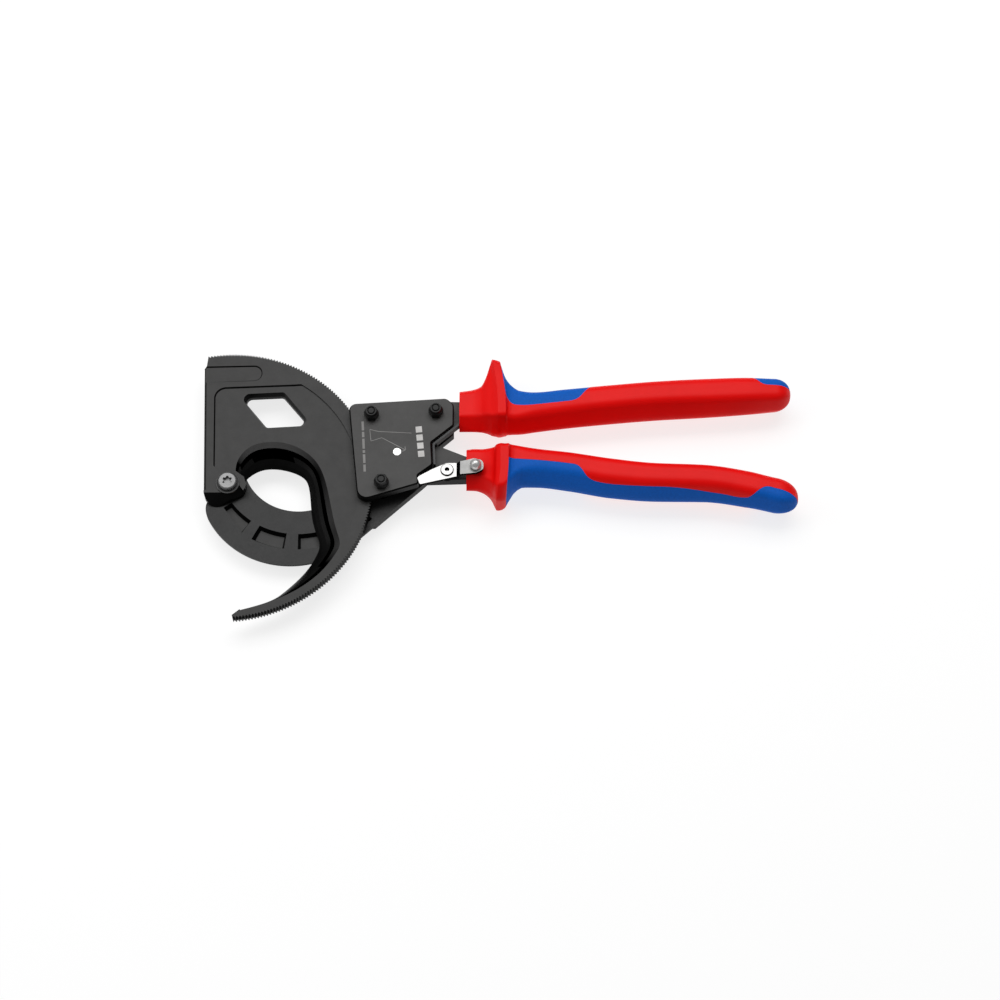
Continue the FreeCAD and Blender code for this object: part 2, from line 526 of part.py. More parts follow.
def lock_lever_rivet():
    """Shoulder rivet: set in the lower arm, with a shoulder that carries the lever."""
    shank = disc(RIVET, RIVET_R, MOVE_LOW, LEVER_TOP + 0.05)
    shoulder = disc(RIVET, 3.2, MOVE_TOP, LEVER_LOW - 0.1)
    head = chamfered_disc(RIVET, 3.5, LEVER_TOP + 0.05, LEVER_TOP + 1.0, 0.4)
    dimple = Part.makeCone(0.6, 1.3, 2.2, V(RIVET[0], RIVET[1], LEVER_TOP - 1.1))
    return fuse([shank, shoulder, head]).cut(dimple)


def lock_stud():
    """Round-headed stud in the lever's tab, the piece that the thumb pushes."""
    base = LEVER_TOP + TAB_RISE
    ball = Part.makeSphere(3.1, V(STUD[0], STUD[1], base + 1.6))
    ball = ball.cut(Part.makeBox(10, 10, 10, V(STUD[0] - 5, STUD[1] - 5, base - 10)))
    return fuse([ball, disc(STUD, 1.6, LEVER_LOW + TAB_RISE, base)])


# ---------------------------------------------------------------- grips
def grip_section(x, y_low, y_top, z_low, z_top):
    """One closed section: flat front and back, sloping flanks and narrow sides, all rounded."""
    middle_z, half_z = (z_low + z_top) / 2, (z_top - z_low) / 2
    share = min(1.0, (y_top - y_low) / 18.0)
    low, top = y_low + LOW_FLANK * share, y_top - TOP_FLANK * share
    side = 0.25 * half_z
    ridge = RIDGE_R * min(1.0, half_z / 8.0)
    corners = [(y_low, -side), (low, -half_z), (top, -half_z), (y_top, -side),
               (y_top, side), (top, half_z), (low, half_z), (y_low, side)]
    rounded = [(y, z, 0.5 * ridge if abs(z) == side else ridge) for y, z in corners]
    wire = Part.Wire(Part.__sortEdges__(rounded_edges(rounded)))
    wire.rotate(V(0, 0, 0), V(1, 1, 1), 120)
    wire.translate(V(x, 0, middle_z))
    return wire


def grip_body(sections, arm):
    return Part.makeLoft([grip_section(*s) for s in sections], True, True).cut(arm)


def insert_zone(points):
    """A prism through the whole grip over one plan outline."""
    return rounded_plate(points, -5, 35)


# ---------------------------------------------------------------- assembly
def build():
    upper_arm, lower_arm = upper_handle_arm(), lower_handle_arm()
    upper, lower = grip_body(UPPER_GRIP, upper_arm), grip_body(LOWER_GRIP, lower_arm)
    upper_zone, upper_end_zone = insert_zone(UPPER_INSERT_ZONE), insert_zone(UPPER_END_ZONE)
    lower_zone = insert_zone(LOWER_INSERT_ZONE)
    return {
        "fixed_jaw": fixed_jaw(),
        "cover_plate": cover_plate(),
        "head_spacer": head_spacer(),
        "upper_handle_arm": upper_arm,
        "head_bolts": Part.makeCompound([head_bolt(c) for c in BOLTS]),
        "head_washers": Part.makeCompound([head_washer(c) for c in BOLTS]),
        "head_nuts": Part.makeCompound([head_nut(c) for c in BOLTS]),
        "handle_pivot_pin": handle_pivot_pin(),
        "blade_pivot_bolt": blade_pivot_bolt(),
        "blade_pivot_washer": blade_pivot_washer(),
        "blade_pivot_nut": blade_pivot_nut(),
        "holding_pawl_spring": holding_pawl_spring(),
        "opening_spring": opening_spring(),
        "upper_grip": upper.cut(upper_zone).cut(upper_end_zone),
        "upper_grip_insert": upper.common(upper_zone),
        "upper_grip_end": upper.common(upper_end_zone),
        "moving_blade": moving_blade(),
        "blade_bush": blade_bush(),
        "holding_pawl": holding_pawl(),
        "lower_handle_arm": lower_arm,
        "drive_pawl_pin": drive_pawl_pin(),
        "drive_pawl_spring": drive_pawl_spring(),
        "lock_lever_rivet": lock_lever_rivet(),
        "lower_grip": lower.cut(lower_zone),
        "lower_grip_insert": lower.common(lower_zone),
        "drive_pawl": drive_pawl(),
        "lock_lever": lock_lever(),
        "lock_stud": lock_stud(),
    }


os.makedirs("parts", exist_ok=True)
shift = V(-(LEFT_END + RIGHT_END) / 2, -MIDDLE_Y, 0)
for name, shape in build().items():
    shape = shape.removeSplitter() if len(shape.Solids) == 1 else shape
    shape.translate(shift)
    box = shape.BoundBox
    print("%-20s solids %d valid %s volume %9.1f  x %.2f %.2f  y %.2f %.2f  z %.2f %.2f" % (
        name, len(shape.Solids), shape.isValid(), shape.Volume,
        box.XMin, box.XMax, box.YMin, box.YMax, box.ZMin, box.ZMax))
    shape.exportStep("parts/%s.step" % name)
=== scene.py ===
"""Looks of the ratchet cable cutter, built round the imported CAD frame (Blender 4.5, metres).

The steel head, the fasteners and the lever are the CAD nodes with materials and small edge bevels.
The two-colour handle grips are modelled here, on outlines close to those of the CAD grips but with
smoother surfaces and guards that lean towards the head.
"""
import json
import math

import bmesh
import bpy
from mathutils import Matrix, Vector


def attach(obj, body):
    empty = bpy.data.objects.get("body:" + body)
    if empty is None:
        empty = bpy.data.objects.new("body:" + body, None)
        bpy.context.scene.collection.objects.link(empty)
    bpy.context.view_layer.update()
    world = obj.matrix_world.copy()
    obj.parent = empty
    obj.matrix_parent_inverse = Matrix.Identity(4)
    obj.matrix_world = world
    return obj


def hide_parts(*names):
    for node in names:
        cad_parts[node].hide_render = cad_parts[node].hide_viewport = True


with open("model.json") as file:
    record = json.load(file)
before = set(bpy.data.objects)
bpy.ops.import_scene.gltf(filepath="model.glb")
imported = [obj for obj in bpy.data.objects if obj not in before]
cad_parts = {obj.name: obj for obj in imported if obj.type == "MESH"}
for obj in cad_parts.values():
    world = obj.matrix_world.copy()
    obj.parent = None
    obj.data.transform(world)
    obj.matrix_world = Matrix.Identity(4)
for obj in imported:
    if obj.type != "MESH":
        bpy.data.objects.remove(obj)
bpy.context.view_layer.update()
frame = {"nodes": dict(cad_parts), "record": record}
nodes = frame["nodes"]
scene = bpy.context.scene

MIDDLE = (145.25, 0.12)                  # the row frame's origin, seen from the blade pivot, in mm


def at(x, y, z):
    """A point given in mm about the blade pivot, in the row frame in metres."""
    return Vector((x - MIDDLE[0], y - MIDDLE[1], z)) / 1000


# ---------------------------------------------------------------- materials
SIDE_SHADE_BLACK, SIDE_SHADE_FULL = 0.990, 0.9995    # painted shade by the upward part of the normal, from black on edges and sides to the full tone on the flat


def new_material(name):
    mat = bpy.data.materials.new(name)
    mat.use_nodes = True
    return mat, mat.node_tree.nodes, mat.node_tree.links, mat.node_tree.nodes["Principled BSDF"]


def noise(mat, scale, detail=3.0, roughness=0.5, stretch=(1, 1, 1)):
    """A noise texture in object space; scale is in features per metre."""
    n, l = mat.node_tree.nodes, mat.node_tree.links
    coordinates = n.new("ShaderNodeTexCoord")
    mapping = n.new("ShaderNodeMapping")
    mapping.inputs["Scale"].default_value = stretch
    tex = n.new("ShaderNodeTexNoise")
    tex.inputs["Scale"].default_value = scale
    tex.inputs["Detail"].default_value = detail
    tex.inputs["Roughness"].default_value = roughness
    l.new(coordinates.outputs["Object"], mapping.inputs["Vector"])
    l.new(mapping.outputs["Vector"], tex.inputs["Vector"])
    return tex.outputs["Fac"]


def ramp(mat, source, stops):
    """Colours over a 0-1 value: stops are (place, colour)."""
    node = mat.node_tree.nodes.new("ShaderNodeValToRGB")
    band = node.color_ramp
    while len(band.elements) < len(stops):
        band.elements.new(0.5)
    for element, (place, colour) in zip(band.elements, stops):
        element.position = place
        element.color = (*colour, 1)
    mat.node_tree.links.new(source, node.inputs["Fac"])
    return node.outputs["Color"]


def spread(mat, source, low, high, lo_in=0.3, hi_in=0.7):
    """The value between lo_in and hi_in, spread over low to high."""
    node = mat.node_tree.nodes.new("ShaderNodeMapRange")
    node.inputs["From Min"].default_value = lo_in
    node.inputs["From Max"].default_value = hi_in
    node.inputs["To Min"].default_value = low
    node.inputs["To Max"].default_value = high
    mat.node_tree.links.new(source, node.inputs["Value"])
    return node.outputs["Result"]


def bump(mat, source, depth, strength=1.0):
    """Relief of the given depth in metres."""
    node = mat.node_tree.nodes.new("ShaderNodeBump")
    node.inputs["Strength"].default_value = strength
    node.inputs["Distance"].default_value = depth
    mat.node_tree.links.new(source, node.inputs["Height"])
    return node.outputs["Normal"]


def finish_material(name, dark, light, rough, metal=0.0, scale=900.0, stretch=(1, 1, 1), mottle=120.0,
                    relief=0.00001, specular=0.5, shade_sides=False):
    """Two tones mottled over the surface, fine grain in the roughness, and a shallow relief.

    When asked, painted shade takes the tone and the specular down to black where the surface turns out of the
    flat, so edge bevels and sides look dark.
    """
    mat, n, l, shader = new_material(name)
    shader.inputs["Metallic"].default_value = metal
    shader.inputs["Specular IOR Level"].default_value = specular
    tone = ramp(mat, noise(mat, mottle, 4.0, 0.6), [(0.3, dark), (0.7, light)])
    # painted shade: tone and specular fall to black as the normal tilts out of the vertical
    if shade_sides:
        facing = n.new("ShaderNodeSeparateXYZ")
        l.new(n.new("ShaderNodeNewGeometry").outputs["Normal"], facing.inputs["Vector"])
        fade = n.new("ShaderNodeVectorMath")
        fade.operation = "SCALE"
        l.new(tone, fade.inputs[0])
        flatness = spread(mat, facing.outputs["Z"], 0.0, 1.0, SIDE_SHADE_BLACK, SIDE_SHADE_FULL)
        l.new(flatness, fade.inputs["Scale"])
        tone = fade.outputs["Vector"]
        sheen = n.new("ShaderNodeMath")
        sheen.operation = "MULTIPLY"
        sheen.inputs[1].default_value = specular
        l.new(flatness, sheen.inputs[0])
        l.new(sheen.outputs["Value"], shader.inputs["Specular IOR Level"])
    l.new(tone, shader.inputs["Base Color"])
    grain = noise(mat, scale, 3.0, 0.6, stretch)
    l.new(spread(mat, grain, rough[0], rough[1]), shader.inputs["Roughness"])
    l.new(bump(mat, grain, relief), shader.inputs["Normal"])
    return mat


# the blackened, cover, jaw and zinc plate materials darken edges and sides with painted shade
MATERIALS = {
    "blackened_steel": finish_material("blackened_steel", (0.024, 0.0235, 0.023), (0.033, 0.0325, 0.032),
                                       (0.42, 0.56), scale=2200, stretch=(1, 3, 1), relief=0.000006,
                                       specular=0.28, shade_sides=True),
    "cover_steel": finish_material("cover_steel", (0.040, 0.039, 0.038), (0.052, 0.051, 0.050), (0.42, 0.56),
                                   scale=2200, stretch=(3, 1, 1), relief=0.000006, specular=0.30,
                                   shade_sides=True),
    # a darker copy of the steel: painted shade on the jaw, which lies lower under the cover and the blade
    "jaw_steel_shaded": finish_material("jaw_steel_shaded", (0.012, 0.012, 0.012), (0.018, 0.018, 0.018), (0.42, 0.56),
                                 scale=2200, relief=0.000006, specular=0.3, shade_sides=True),
    # a lighter copy of the jaw's steel for its pocket floors, against the painted shade on the jaw's face
    "pocket_steel": finish_material("pocket_steel", (0.034, 0.0335, 0.033), (0.046, 0.0455, 0.045),
                                    (0.5, 0.62),
                                    scale=2600, relief=0.000008, specular=0.3),
    # near black with little specular: painted shade on every wall and side, the ground cutting bevels
    # included
    "bevel_and_wall_shade": finish_material("bevel_and_wall_shade", (0.0015, 0.0015, 0.0015), (0.003, 0.003, 0.003),
                                    (0.30, 0.42), scale=2600, relief=0.000003, specular=0.08),
    "black_fasteners": finish_material("black_fasteners", (0.008, 0.008, 0.008), (0.014, 0.014, 0.014),
                                       (0.26, 0.38), scale=3000, relief=0.000004, specular=0.15),
    "pivot_steel": finish_material("pivot_steel", (0.20, 0.20, 0.20), (0.27, 0.27, 0.27), (0.34, 0.46),
                                   metal=0.4, scale=2600, relief=0.000004, specular=0.4),
    "bright_steel": finish_material("bright_steel", (0.56, 0.56, 0.55), (0.68, 0.68, 0.67), (0.24, 0.38),
                                    metal=0.6, scale=2600, stretch=(1, 6, 1), relief=0.000004),
    "zinc_plate": finish_material("zinc_plate", (0.80, 0.79, 0.77), (0.90, 0.89, 0.88), (0.30, 0.44),
                                  metal=0.15, scale=1600, stretch=(1, 5, 1), relief=0.000004, shade_sides=True),
    # a darker zinc: painted shade on the lever's raised tab
    "zinc_painted_shade": finish_material("zinc_painted_shade", (0.26, 0.26, 0.255), (0.36, 0.36, 0.355), (0.30, 0.44),
                                  metal=0.3, scale=1600, stretch=(1, 5, 1), relief=0.000004),
    # lighter steel painted as highlight on the fasteners' edges and the washer's rim
    "painted_edge_glint": finish_material("painted_edge_glint", (0.16, 0.16, 0.16), (0.30, 0.30, 0.30), (0.24, 0.36),
                                  metal=0.6, scale=2600, relief=0.000003),
    "bronze": finish_material("bronze", (0.42, 0.26, 0.10), (0.58, 0.39, 0.17), (0.28, 0.42), metal=1.0,
                              scale=2400, relief=0.000004),
    "spring_steel": finish_material("spring_steel", (0.012, 0.012, 0.013), (0.024, 0.024, 0.025),
                                    (0.24, 0.38),
                                    metal=0.3, scale=2400, relief=0.000004, specular=0.3),
    "red_plastic": finish_material("red_plastic", (0.80, 0.0008, 0.0004), (0.86, 0.0014, 0.0007),
                                   (0.40, 0.52),
                                   scale=2600, mottle=60, relief=0.000010, specular=0.15),
    "blue_plastic": finish_material("blue_plastic", (0.0004, 0.092, 0.44), (0.0008, 0.112, 0.54),
                                    (0.55, 0.70),
                                    scale=2400, mottle=900, relief=0.000016, specular=0.15),
    "print": finish_material("print", (0.50, 0.49, 0.48), (0.62, 0.61, 0.60), (0.5, 0.6), scale=2600),
    "print_faint": finish_material("print_faint", (0.17, 0.165, 0.16), (0.23, 0.225, 0.22), (0.5, 0.6),
                                   scale=2600),
}

slot_of = {s["node"]: s["material_slot"] for s in frame["record"]["subparts"]}

# nodes whose look is not simply that of their material slot; the jaw's darker steel among them is painted
# shade
MATERIAL_OF = {
    "fixed_jaw": "jaw_steel_shaded", "cover_plate": "cover_steel", "upper_handle_arm": "cover_steel",
    "lower_handle_arm": "cover_steel", "blade_pivot_bolt": "pivot_steel",
    "blade_pivot_washer": "black_fasteners", "lock_lever_rivet": "zinc_plate", "lock_stud": "bright_steel",
}
# parts whose walls and sides take the near-black painted shade
WALL_SHADED = ("moving_blade", "fixed_jaw", "cover_plate", "upper_handle_arm", "lower_handle_arm",
          "opening_spring")
STEEP = 0.92                             # faces whose normal rises less than this count as steep
UPWARD = 0.97                            # faces whose normal rises more than this count as flat
POCKET_FLOOR = (6.8, 7.6)                # heights in mm between which the jaw's pocket floors lie
TAB_TOP = (26.0, 27.0)                   # and the top of the lever's raised tab, in painted shade
GLINT_BEVEL, PLATE_BEVEL = 0.14, 0.12    # widths of the edge bevels in mm; the first carries the painted highlight


def paint(obj, mat):
    obj.data.materials.clear()
    obj.data.materials.append(mat)


def shade_steep_faces(obj):
    """Steep and upright faces, the ground cutting bevels among them, take near-black painted shade; flat
    faces keep the satin finish.
    """
    obj.data.materials.append(MATERIALS["bevel_and_wall_shade"])
    for face in obj.data.polygons:
        face.material_index = 1 if abs(face.normal.z) < STEEP else 0


def height_band_material(obj, mat, low, high):
    """Another material on the upward faces between two heights in mm: a lighter copy on the jaw's pocket
    floors, painted shade on the lever's tab.
    """
    obj.data.materials.append(mat)
    index = len(obj.data.materials) - 1
    for face in obj.data.polygons:
        if face.normal.z > UPWARD and low < 1000 * face.center.z < high:
            face.material_index = index


def edge_bevel(obj, width, material=-1):
    """A narrow bevel on the sharp edges, in the object's own finish or in another of its materials."""
    mod = obj.modifiers.new("edges", "BEVEL")
    mod.width = width / 1000
    mod.segments = 2
    mod.limit_method = "ANGLE"
    mod.angle_limit = math.radians(38)
    mod.material = material


for name, obj in nodes.items():
    paint(obj, MATERIALS[MATERIAL_OF.get(name, slot_of[name])])
for name in WALL_SHADED:
    shade_steep_faces(nodes[name])
# the pocket floors take the lighter copy, outside the painted shade on the jaw's face
height_band_material(nodes["fixed_jaw"], MATERIALS["pocket_steel"], *POCKET_FLOOR)
# painted shade on the top of the lever's tab
height_band_material(nodes["lock_lever"], MATERIALS["zinc_painted_shade"], *TAB_TOP)
# painted highlights: the nuts' and pivot bolt's edge bevels and the washer's rim and sides take the lighter
# steel
for name in ("head_nuts", "blade_pivot_washer", "blade_pivot_bolt"):
    nodes[name].data.materials.append(MATERIALS["painted_edge_glint"])
for face in nodes["blade_pivot_washer"].data.polygons:
    face.material_index = 1 if face.normal.z < UPWARD else 0
for name in ("head_nuts", "blade_pivot_bolt"):
    edge_bevel(nodes[name], GLINT_BEVEL, material=1)
for name in ("cover_plate", "moving_blade", "lock_lever"):
    edge_bevel(nodes[name], PLATE_BEVEL)


# ---------------------------------------------------------------- shapes from outlines
def between(a, b, share):
    """The point a share of the way from a to b."""
    return (a[0] + (b[0] - a[0]) * share, a[1] + (b[1] - a[1]) * share)


def rounded_corner(before, here, after, size, limit, steps=6):
    """Points on a short curve round a corner, using at most a limited share of each side."""
    ends = []
    for other in (before, after):
        span = math.dist(here, other)
        ends.append(between(here, other, min(size, limit * span) / span))
    points = []
    for k in range(steps + 1):
        t = k / steps
        a, b, c = (1 - t) ** 2, 2 * t * (1 - t), t * t
        points.append((a * ends[0][0] + b * here[0] + c * ends[1][0],
                       a * ends[0][1] + b * here[1] + c * ends[1][1]))
    return points


def rounded_outline(points):
    """A closed outline through (x, y, rounding) corners, each rounded off by a short curve."""
    out = []
    for i, (x, y, size) in enumerate(points):
        before, after = points[i - 1][:2], points[(i + 1) % len(points)][:2]
        out += rounded_corner(before, (x, y), after, size, 0.49) if size > 0 else [(x, y)]
    return out


def extrude(bm, outline, low, high):
    """A closed prism over the outline, between two heights in mm."""
    bottom = [bm.verts.new(at(x, y, low)) for x, y in outline]
    top = [bm.verts.new(at(x, y, high)) for x, y in outline]
    bm.faces.new(list(reversed(bottom)))
    bm.faces.new(top)
    for i in range(len(outline)):
        j = (i + 1) % len(outline)
        bm.faces.new((bottom[i], bottom[j], top[j], top[i]))


def finished(name, bm):
    """The bmesh as an object in the scene, with its faces turned outwards."""
    bmesh.ops.recalc_face_normals(bm, faces=bm.faces)
    mesh = bpy.data.meshes.new(name)
    bm.to_mesh(mesh)
    bm.free()
    obj = bpy.data.objects.new(name, mesh)
    scene.collection.objects.link(obj)
    return obj


def prism(name, outline, low, high):
    bm = bmesh.new()
    extrude(bm, outline, low, high)
    return finished(name, bm)


# ---------------------------------------------------------------- grips
def pchip(xs, ys):
    """A smooth curve through the points that never swings past them."""
    n = len(xs)
    h = [xs[i + 1] - xs[i] for i in range(n - 1)]
    d = [(ys[i + 1] - ys[i]) / h[i] for i in range(n - 1)]
    m = [d[0]] + [0.0] * (n - 2) + [d[-1]]
    for i in range(1, n - 1):
        if d[i - 1] * d[i] > 0:
            a, b = 2 * h[i] + h[i - 1], h[i] + 2 * h[i - 1]
            m[i] = (a + b) / (a / d[i - 1] + b / d[i])

    def value(x):
        x = min(max(x, xs[0]), xs[-1])
        i = min(max(sum(1 for v in xs if v <= x) - 1, 0), n - 2)
        t = (x - xs[i]) / h[i]
        t2, t3 = t * t, t * t * t
        return ((2 * t3 - 3 * t2 + 1) * ys[i] + (t3 - 2 * t2 + t) * h[i] * m[i]
                + (3 * t2 - 2 * t3) * ys[i + 1] + (t3 - t2) * h[i] * m[i + 1])
    return value


def pieces_of(*tables):
    """Several smooth curves end to end, with a crease where they meet."""
    curves = [(t[0][0], t[-1][0], pchip([p[0] for p in t], [p[1] for p in t])) for t in tables]

    def value(x):
        for low, high, curve in curves:
            if x <= high:
                return curve(x)
        return curves[-1][2](x)
    return value


MID_Z = 14.6                             # both grips are symmetric about this height
BODY_FROM = 170.0                        # behind this x the grips change slowly
GUARD_STEP, BODY_STEP = 0.45, 2.0        # distance between sections before and behind it
DOME_RINGS = 12
BLUE_INSET = 0.12                        # the blue plastic lies this much below the red
CREST_LEAN, CREST_REACH = 2.4, 20.0      # the guard's lean in mm, at this height above its root
CUT_LOW, CUT_HIGH = -6, 36               # heights between which the blue zones are cut out

# x, lower y, upper y of the outline; the ends beyond the last section are domes
UPPER_OUTLINE = (
    (124.4, 31.6, 54.3), (131.0, 31.6, 55.3), (136.0, 31.4, 57.0), (139.0, 30.9, 62.4),
    (141.0, 30.2, 68.6), (142.2, 29.6, 71.5), (146.4, 29.2, 71.3), (147.3, 29.4, 68.2),
    (149.4, 30.0, 62.4), (152.6, 30.2, 58.1), (157.0, 30.3, 55.2), (165.0, 31.4, 54.4),
    (182.0, 33.8, 56.1), (205.0, 36.4, 58.3), (232.0, 38.9, 60.7), (260.0, 40.7, 62.4),
    (284.0, 42.8, 63.3), (296.0, 44.4, 62.7),
)
LOWER_OUTLINE = (
    (128.4, -3.6, 19.1), (133.0, -3.7, 19.6), (137.4, -5.0, 19.4), (141.0, -7.6, 19.6),
    (143.6, -11.2, 19.9), (144.6, -12.4, 20.4), (146.6, -12.6, 20.7), (149.0, -11.8, 20.8),
    (151.4, -8.4, 21.5), (154.6, -3.8, 21.7), (159.0, -1.4, 21.2), (167.0, -1.6, 20.0),
    (184.0, -3.9, 17.9), (206.0, -7.9, 14.2), (230.0, -9.9, 11.4), (256.0, -10.2, 10.4),
    (280.0, -13.5, 6.7), (294.0, -16.5, 2.9),
)


def guard_profile(start, crest, facet_end):
    """Half thickness along the grip: collar, guard crest, flat facet, step, and the long body."""
    return pieces_of(
        ((start, 7.0), (start + 6.6, 7.3), (start + 11.6, 8.6), (start + 15.1, 10.8), (crest - 2.6, 12.6),
         (crest, 14.6)),
        ((crest, 14.6), (facet_end, 13.9)),
        ((facet_end, 13.9), (facet_end + 1.1, 11.7), (facet_end + 3.2, 10.9)),
        ((facet_end + 3.2, 10.9), (facet_end + 14.0, 10.9), (182.0, 11.2), (205.0, 11.8), (232.0, 12.0),
         (260.0, 11.6), (284.0, 10.8), (296.0, 9.8)))


def section(low, high, half, drop_low, drop_high, side_low, side_high, rounding):
    """Points (y, z) round one section: an octagon with sloping flanks and rounded ridges."""
    corners = [(low, -side_low * half), (low, side_low * half), (low + drop_low, half),
               (high - drop_high, half), (high, side_high * half), (high, -side_high * half),
               (high - drop_high, -half), (low + drop_low, -half)]
    curves = [rounded_corner(corners[i - 1], corners[i], corners[(i + 1) % 8], rounding, 0.46)
              for i in range(8)]
    points = []
    for i, curve in enumerate(curves):
        following = curves[(i + 1) % 8][0]
        points += curve + [between(curve[-1], following, k / 4) for k in (1, 2, 3)]
    return points


def grip_mesh(name, outline, profile, warp, knots, end_x, drops, sides, inset=0.0):
    """One whole grip as a closed mesh. warp(u, y) bends the stations so that they follow the crest."""
    low = pchip([p[0] for p in outline], [p[1] for p in outline])
    high = pchip([p[0] for p in outline], [p[2] for p in outline])
    start, dome_x = outline[0][0], outline[-1][0]
    stations = []
    for a, b in zip(knots, knots[1:]):
        count = max(2, round((b - a) / (GUARD_STEP if b < BODY_FROM else BODY_STEP)))
        stations += [a + (b - a) * i / count for i in range(count)]
    stations.append(dome_x)
    rings = []
    for u in stations:
        half = profile(u)
        ring = section(low(u), high(u), half, drops[0](u), drops[1](u), sides[0](u), sides[1](u), drops[2](u))
        placed = []
        for y, z in ring:
            share = (y - low(u)) / (high(u) - low(u))
            x = u
            for _ in range(5):
                x = warp(u, low(x) + share * (high(x) - low(x)))
            y = low(x) + share * (high(x) - low(x))
            middle = (low(x) + high(x)) / 2
            reach = (high(x) - low(x)) / 2
            y = middle + (y - middle) * (reach - inset) / reach
            placed.append((x, y, MID_Z + z * (half - inset) / half))
        rings.append(placed)
    last = rings[-1]
    middle = sum(p[1] for p in last) / len(last)
    drift = (high(dome_x) + low(dome_x) - high(dome_x - 6) - low(dome_x - 6)) / 12
    for i in range(1, DOME_RINGS + 1):
        a = math.radians(90 * i / DOME_RINGS)
        x = dome_x + (end_x - inset - dome_x) * math.sin(a)
        size = max(math.cos(a), 0.0) ** 0.85 if i < DOME_RINGS else 0.02
        shift = drift * (x - dome_x) * 0.6
        rings.append([(x, middle + shift + (p[1] - middle) * size, MID_Z + (p[2] - MID_Z) * size)
                      for p in last])
    bm = bmesh.new()
    made = [[bm.verts.new(at(*p)) for p in ring] for ring in rings]
    for a, b in zip(made, made[1:]):
        for i in range(len(a)):
            j = (i + 1) % len(a)
            bm.faces.new((a[i], a[j], b[j], b[i]))
    bm.faces.new(list(reversed(made[0])))
    bm.faces.new(made[-1])
    return finished(name, bm)


def boolean(obj, other, operation):
    """What is left of the object inside or outside another, as a plain mesh."""
    mod = obj.modifiers.new("cut", "BOOLEAN")
    mod.operation = operation
    mod.solver = "EXACT"
    mod.object = other
    bpy.context.view_layer.update()
    mesh = bpy.data.meshes.new_from_object(obj.evaluated_get(bpy.context.evaluated_depsgraph_get()))
    obj.modifiers.clear()
    obj.data = mesh


def smooth(obj, angle=28):
    obj.data.shade_smooth()
    obj.data.set_sharp_from_angle(angle=math.radians(angle))


def place(obj, body, mat, slot_name=None, replaced=None):
    """A piece made here rides on its body, painted in its material, in place of a CAD node."""
    paint(obj, mat)
    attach(obj, body)
    if replaced:
        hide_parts(replaced)


def lean(y, root, sign):
    """How far the guard's crest leans back to the head as it rises from its root."""
    return CREST_LEAN * max(0.0, sign * (y - root) / CREST_REACH) ** 1.3


def warper(start, crest, facet_end, root, sign):
    """How a section at u bends: not at the collar, most at the crest, and not from the body on."""
    knots = (start + 7.0, crest, facet_end, facet_end + 12.0)

    def warp(u, y):
        pull = lean(y, root, sign)
        if u <= knots[0] or u >= knots[3]:
            return u
        if u < knots[1]:
            return u - pull * ((u - knots[0]) / (knots[1] - knots[0])) ** 2
        if u <= knots[2]:
            return u - pull
        return u - pull * ((knots[3] - u) / (knots[3] - knots[2])) ** 1.5
    return warp


def build_grip(which, outline, crest, facet_end, root, sign, end_x, zones):
    """A red grip and its blue parts. root is the foot of the guard; sign says which way it stands."""
    start = outline[0][0]
    body_x = facet_end + 3.2
    profile = guard_profile(start, crest, facet_end)
    warp = warper(start, crest, facet_end, root, sign)
    knots = (start, start + 7.0, crest, facet_end, facet_end + 1.1, body_x, BODY_FROM, outline[-1][0])
    drop_low = pchip([start, crest - 6, crest, body_x, body_x + 16, 230, 284, 296],
                     [6.2, 6.2, 6.0, 5.2, 6.4, 6.0, 4.6, 3.6])
    drop_high = pchip([start, crest - 6, crest, body_x, body_x + 10, 284, 296],
                      [2.8, 3.0, 3.4, 3.6, 4.4, 4.2, 3.4])
    if sign < 0:
        side_low = pchip([start, crest - 4, crest, body_x + 4, 296], [0.12, 0.3, 0.5, 0.2, 0.12])
    else:
        side_low = pchip([start, 296], [0.12, 0.12])
    side_high = pchip([start, crest - 6, crest, body_x + 4, 296], [0.5, 0.55, 0.6, 0.3, 0.25])
    rounding = pchip([start, start + 10, crest, body_x, body_x + 12, 296], [1.0, 1.6, 1.6, 2.4, 3.2, 3.6])
    shape = (outline, profile, warp, knots, end_x, (drop_low, drop_high, rounding), (side_low, side_high))
    red = grip_mesh(which + "_grip_red", *shape)
    blues = []
    for name, node, zone in zones:
        blue = grip_mesh(name, *shape, inset=BLUE_INSET)
        cutter = prism("cutter", rounded_outline(zone), CUT_LOW, CUT_HIGH)
        boolean(blue, cutter, "INTERSECT")
        boolean(red, cutter, "DIFFERENCE")
        bpy.data.objects.remove(cutter)
        smooth(blue)
        blues.append((blue, node))
    smooth(red)
    return red, blues


# (x, y, rounding) corners of the areas of each grip that the soft blue plastic fills
UPPER_ZONE = (
    (146.6, 90, 0), (146.7, 68, 4), (148.3, 57, 6), (149.6, 47.4, 3), (153.0, 42.8, 3), (160.0, 42.3, 5),
    (186.6, 45.2, 3), (189.6, 46.9, 2), (196.4, 55.2, 2), (203.0, 66.0, 0), (203.0, 90, 0),
)
UPPER_END = (
    (282.0, 90, 0), (283.6, 61.6, 0), (289.6, 55.4, 2.5), (301.0, 55.2, 5), (320.0, 53.0, 0),
    (320, 90, 0),
)
LOWER_ZONE = (
    (148.6, -60, 0), (148.9, -20, 4), (150.4, -4.6, 5), (151.1, 6.0, 2), (151.2, 10.6, 1.2),
    (169.6, 9.5, 10), (187.6, 6.9, 2.5), (190.2, 4.4, 2.5), (193.6, -1.0, 5), (203.0, -3.4, 6),
    (221.0, -5.1, 9), (243.0, -5.8, 9), (264.0, -8.0, 9), (274.4, -10.3, 4), (280.4, -10.8, 2.5),
    (288.4, -5.4, 2.5), (301.4, -8.5, 4), (320.0, -19.0, 0), (320, -60, 0),
)

